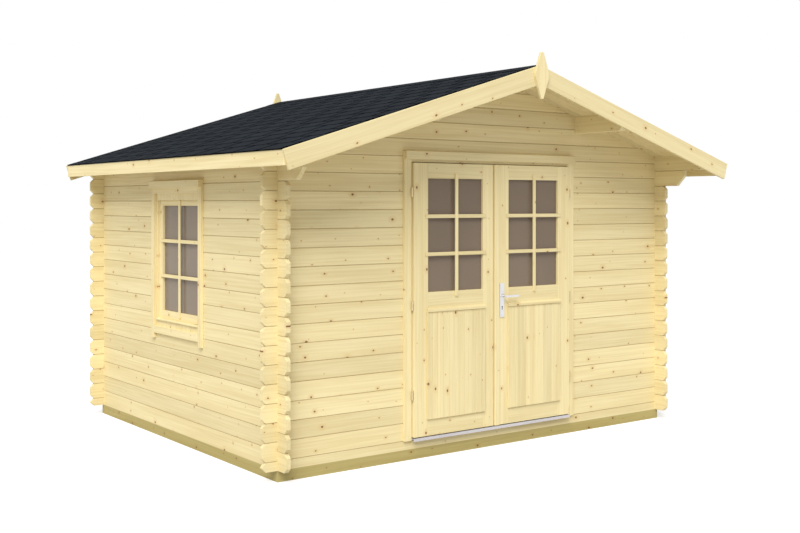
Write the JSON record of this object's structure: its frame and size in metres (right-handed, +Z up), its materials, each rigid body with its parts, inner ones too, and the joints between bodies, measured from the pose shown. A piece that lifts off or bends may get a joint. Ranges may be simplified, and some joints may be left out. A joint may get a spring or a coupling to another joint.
{
  "type": "garden house",
  "caption": "Log cabin garden house with crossed corner logs, a shingled gable roof, a framed side window and a glazed double door that opens outwards.",
  "frame": {"origin": "on the ground, at the middle of the roof's plan", "axes": "+X to the right seen from the front, +Y from the front door to the back wall, +Z up"},
  "size_m": [3.83, 3.382, 2.6206],
  "materials": {
    "wall_logs": "planed untreated spruce logs",
    "trim": "planed spruce boards",
    "joinery": "planed spruce",
    "door": "planed spruce",
    "purlins": "planed spruce",
    "roof_boards": "tongue and groove spruce boards",
    "floor_boards": "tongue and groove spruce boards",
    "treated_timber": "pressure-treated pine",
    "shingles": "mineral-surfaced bitumen shingles",
    "glass": "clear float glass",
    "hinges": "yellow-passivated steel",
    "handle": "satin metal",
    "threshold": "mill finish"
  },
  "bodies": {
    "house": {"foundation_ends": "treated_timber", "foundation_sides": "treated_timber", "floor_joists": "treated_timber", "floor_boards": "floor_boards", "front_sill_log": "wall_logs", "front_wall_left": "wall_logs", "front_wall_right": "wall_logs", "front_gable": "wall_logs", "back_wall": "wall_logs", "back_gable": "wall_logs", "left_wall": "wall_logs", "right_wall": "wall_logs", "purlins": "purlins", "roof_boards_left": "roof_boards", "roof_boards_right": "roof_boards", "shingles_left": "shingles", "shingles_right": "shingles", "ridge_shingles": "shingles", "fascia_left": "trim", "fascia_right": "trim", "bargeboards_front": "trim", "bargeboards_back": "trim", "finials": "trim", "door_frame": "joinery", "door_trim": "trim", "cap_boards": "trim", "threshold": "threshold", "hinge_posts": "hinges", "window_frame": "joinery", "window_trim": "trim", "window_sash": "joinery", "window_glass": "glass", "window_sill": "joinery"},
    "left_door": {"left_leaf": "door", "left_panel": "door", "left_glass": "glass", "left_hinge_knuckles": "hinges"},
    "right_door": {"right_leaf": "door", "right_panel": "door", "right_glass": "glass", "meeting_strip": "door", "right_hinge_knuckles": "hinges", "handle_plates": "handle"},
    "door_lever": {"lever": "handle"}
  },
  "joints": [
    {"name": "left_door_hinge", "type": "hinge", "parent": "house", "child": "left_door", "pos_m": [-0.705, -1.231, 0.99], "axis": [0, 0, -1], "range_deg": [0, 110]},
    {"name": "right_door_hinge", "type": "hinge", "parent": "house", "child": "right_door", "pos_m": [0.705, -1.231, 0.99], "axis": [0, 0, 1], "range_deg": [0, 110]},
    {"name": "lever_spindle", "type": "hinge", "parent": "right_door", "child": "door_lever", "pos_m": [0.051, -1.218, 1.017], "axis": [0, 1, 0], "range_deg": [0, 40], "stiffness_Nm_per_rad": 1, "springref_deg": -28.65}
  ]
}
